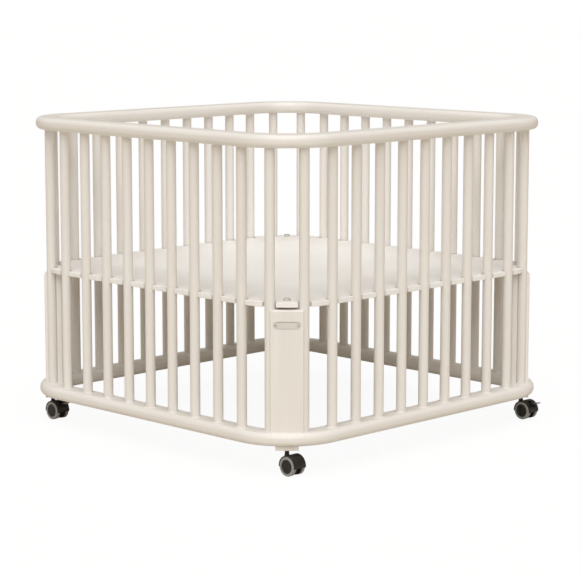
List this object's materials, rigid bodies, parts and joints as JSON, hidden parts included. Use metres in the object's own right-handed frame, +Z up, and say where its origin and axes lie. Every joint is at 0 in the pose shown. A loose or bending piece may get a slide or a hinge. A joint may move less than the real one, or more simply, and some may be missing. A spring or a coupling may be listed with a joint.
{
  "type": "playpen",
  "caption": "Square wooden playpen with rounded corners: a top and a bottom ring joined by upright round bars, a raised floor on corner posts, and a swivel caster under each corner.",
  "frame": {"origin": "on the ground under the middle of the pen", "axes": "+Z up, +X towards the right side, -Y towards the front side; all four sides lie along X or Y"},
  "size_m": [1, 1, 0.785],
  "materials": {
    "painted_beech": "satin paint",
    "floor_paint": "satin paint",
    "bare_beech": "bare",
    "zinc_steel": "zinc plated",
    "dark_steel": "dark coated",
    "grey_trim": "satin",
    "black_nylon": "moulded, fine grain",
    "grey_tread": "matte"
  },
  "bodies": {
    "frame": {"top_rail_front": "painted_beech", "bottom_rail_front": "painted_beech", "front_bars": "painted_beech", "top_rail_right": "painted_beech", "bottom_rail_right": "painted_beech", "right_bars": "painted_beech", "top_rail_back": "painted_beech", "bottom_rail_back": "painted_beech", "back_bars": "painted_beech", "top_rail_left": "painted_beech", "bottom_rail_left": "painted_beech", "left_bars": "painted_beech", "corner_post_front_right": "painted_beech", "inner_plate_front_right": "painted_beech", "corner_post_back_right": "painted_beech", "inner_plate_back_right": "painted_beech", "corner_post_back_left": "painted_beech", "inner_plate_back_left": "painted_beech", "corner_post_front_left": "painted_beech", "inner_plate_front_left": "painted_beech", "seam_dowels": "bare_beech", "top_joint_plates": "zinc_steel", "joint_plate_screws": "zinc_steel", "trim_plates": "grey_trim", "trim_plate_screws": "zinc_steel", "caster_blocks": "painted_beech", "caster_sockets": "zinc_steel", "post_bolts": "zinc_steel", "clamp_bolts": "zinc_steel", "threaded_inserts": "zinc_steel", "caster_stems": "dark_steel"},
    "floor": {"floor_board": "floor_paint", "floor_bolts": "zinc_steel"},
    "front_right_caster": {"front_right_caster_housing": "black_nylon", "front_right_caster_axle": "zinc_steel"},
    "front_right_wheel_a": {"front_right_wheel_a": "black_nylon", "front_right_tread_a": "grey_tread"},
    "front_right_wheel_b": {"front_right_wheel_b": "black_nylon", "front_right_tread_b": "grey_tread"},
    "back_right_caster": {"back_right_caster_housing": "black_nylon", "back_right_caster_axle": "zinc_steel"},
    "back_right_wheel_a": {"back_right_wheel_a": "black_nylon", "back_right_tread_a": "grey_tread"},
    "back_right_wheel_b": {"back_right_wheel_b": "black_nylon", "back_right_tread_b": "grey_tread"},
    "back_right_brake": {"back_right_brake_lever": "black_nylon"},
    "back_left_caster": {"back_left_caster_housing": "black_nylon", "back_left_caster_axle": "zinc_steel"},
    "back_left_wheel_a": {"back_left_wheel_a": "black_nylon", "back_left_tread_a": "grey_tread"},
    "back_left_wheel_b": {"back_left_wheel_b": "black_nylon", "back_left_tread_b": "grey_tread"},
    "front_left_caster": {"front_left_caster_housing": "black_nylon", "front_left_caster_axle": "zinc_steel"},
    "front_left_wheel_a": {"front_left_wheel_a": "black_nylon", "front_left_tread_a": "grey_tread"},
    "front_left_wheel_b": {"front_left_wheel_b": "black_nylon", "front_left_tread_b": "grey_tread"},
    "front_left_brake": {"front_left_brake_lever": "black_nylon"}
  },
  "joints": [
    {"name": "floor_lift", "type": "slide", "parent": "frame", "child": "floor", "axis": [0, 0, 1], "range_m": [0, 0.345]},
    {"name": "front_right_swivel", "type": "hinge", "parent": "frame", "child": "front_right_caster", "pos_m": [0.43042, -0.43042, 0.05], "axis": [0, 0, 1], "continuous": true},
    {"name": "front_right_spin_a", "type": "hinge", "parent": "front_right_caster", "child": "front_right_wheel_a", "pos_m": [0.44792, -0.44342, 0.023], "axis": [0, 1, 0], "continuous": true},
    {"name": "front_right_spin_b", "type": "hinge", "parent": "front_right_caster", "child": "front_right_wheel_b", "pos_m": [0.44792, -0.41742, 0.023], "axis": [0, 1, 0], "continuous": true},
    {"name": "back_right_swivel", "type": "hinge", "parent": "frame", "child": "back_right_caster", "pos_m": [0.43042, 0.43042, 0.05], "axis": [0, 0, 1], "continuous": true},
    {"name": "back_right_spin_a", "type": "hinge", "parent": "back_right_caster", "child": "back_right_wheel_a", "pos_m": [0.44792, 0.41742, 0.023], "axis": [0, 1, 0], "continuous": true},
    {"name": "back_right_spin_b", "type": "hinge", "parent": "back_right_caster", "child": "back_right_wheel_b", "pos_m": [0.44792, 0.44342, 0.023], "axis": [0, 1, 0], "continuous": true},
    {"name": "back_right_brake_press", "type": "hinge", "parent": "back_right_caster", "child": "back_right_brake", "pos_m": [0.45882, 0.43042, 0.03856], "axis": [0, 1, 0], "range_deg": [0, 9]},
    {"name": "back_left_swivel", "type": "hinge", "parent": "frame", "child": "back_left_caster", "pos_m": [-0.43042, 0.43042, 0.05], "axis": [0, 0, 1], "continuous": true},
    {"name": "back_left_spin_a", "type": "hinge", "parent": "back_left_caster", "child": "back_left_wheel_a", "pos_m": [-0.41292, 0.41742, 0.023], "axis": [0, 1, 0], "continuous": true},
    {"name": "back_left_spin_b", "type": "hinge", "parent": "back_left_caster", "child": "back_left_wheel_b", "pos_m": [-0.41292, 0.44342, 0.023], "axis": [0, 1, 0], "continuous": true},
    {"name": "front_left_swivel", "type": "hinge", "parent": "frame", "child": "front_left_caster", "pos_m": [-0.43042, -0.43042, 0.05], "axis": [0, 0, 1], "continuous": true},
    {"name": "front_left_spin_a", "type": "hinge", "parent": "front_left_caster", "child": "front_left_wheel_a", "pos_m": [-0.41292, -0.44342, 0.023], "axis": [0, 1, 0], "continuous": true},
    {"name": "front_left_spin_b", "type": "hinge", "parent": "front_left_caster", "child": "front_left_wheel_b", "pos_m": [-0.41292, -0.41742, 0.023], "axis": [0, 1, 0], "continuous": true},
    {"name": "front_left_brake_press", "type": "hinge", "parent": "front_left_caster", "child": "front_left_brake", "pos_m": [-0.40203, -0.43042, 0.03856], "axis": [0, 1, 0], "range_deg": [0, 9]}
  ]
}
